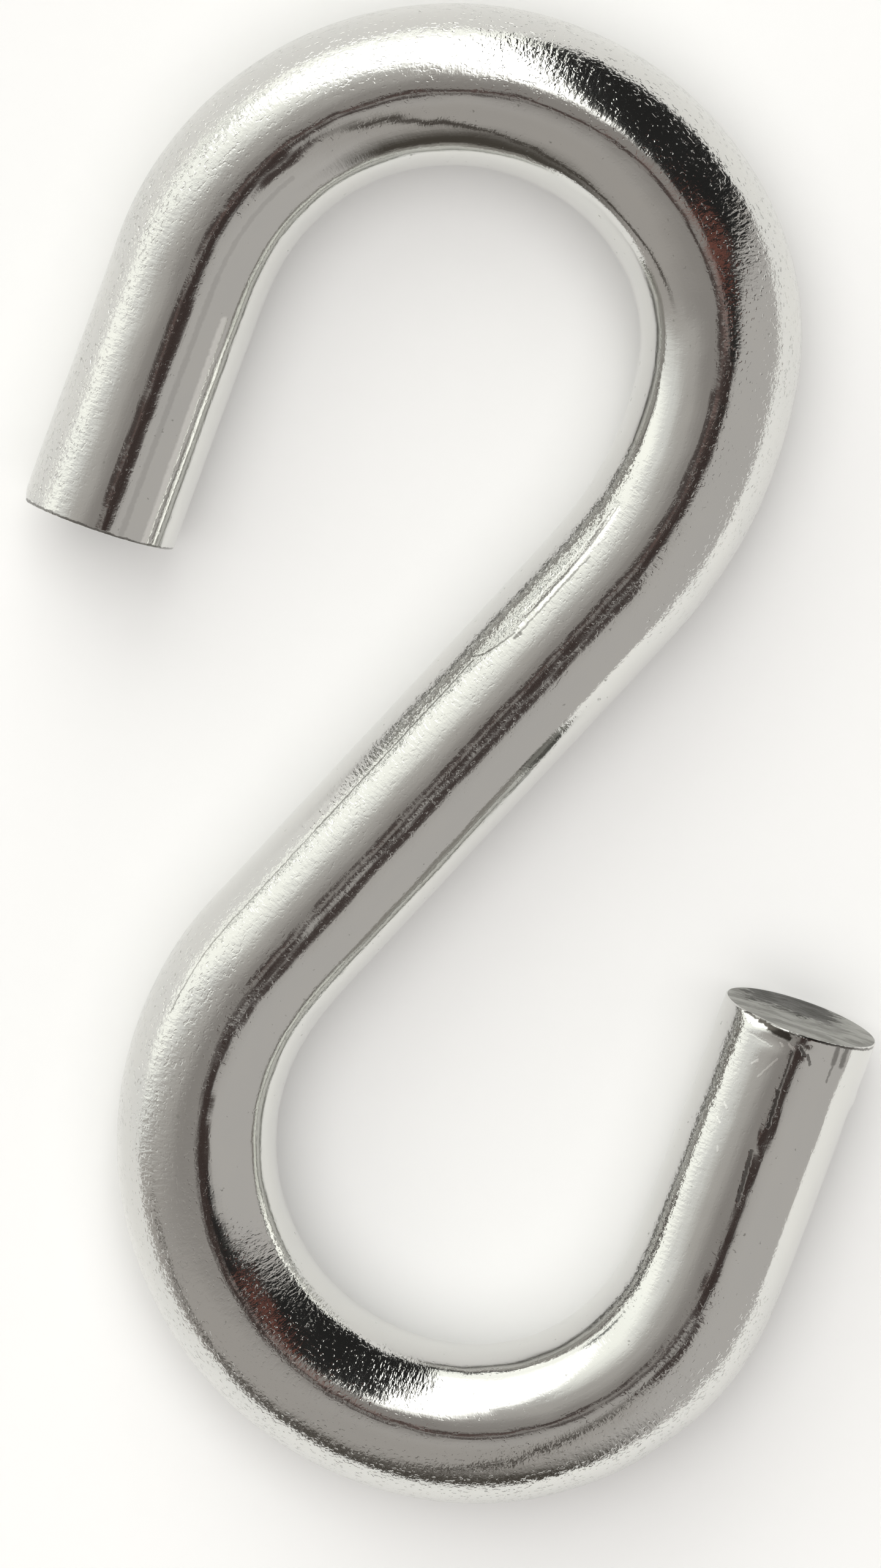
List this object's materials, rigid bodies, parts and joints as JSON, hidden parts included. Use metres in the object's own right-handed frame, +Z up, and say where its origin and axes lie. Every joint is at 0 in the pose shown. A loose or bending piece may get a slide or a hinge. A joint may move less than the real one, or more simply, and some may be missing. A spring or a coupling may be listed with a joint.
{
  "type": "s hook",
  "caption": "Open S-shaped hook bent from round bright-plated steel rod, with sheared ends, for hanging a load from a bar, ring or chain.",
  "frame": {"origin": "middle of the outline's extent, on the surface that the hook lies on", "axes": "+Y along the hook's length towards the upper hook, +X to the lower hook's mouth, +Z up out of the hook's plane"},
  "size_m": [0.0427, 0.0762, 0.0081],
  "materials": {
    "plated_steel": "bright zinc plating over drawn rod, glossy, with fine pits, tool marks and small nicks"
  },
  "bodies": {
    "root": {"hook": "plated_steel"}
  },
  "joints": []
}
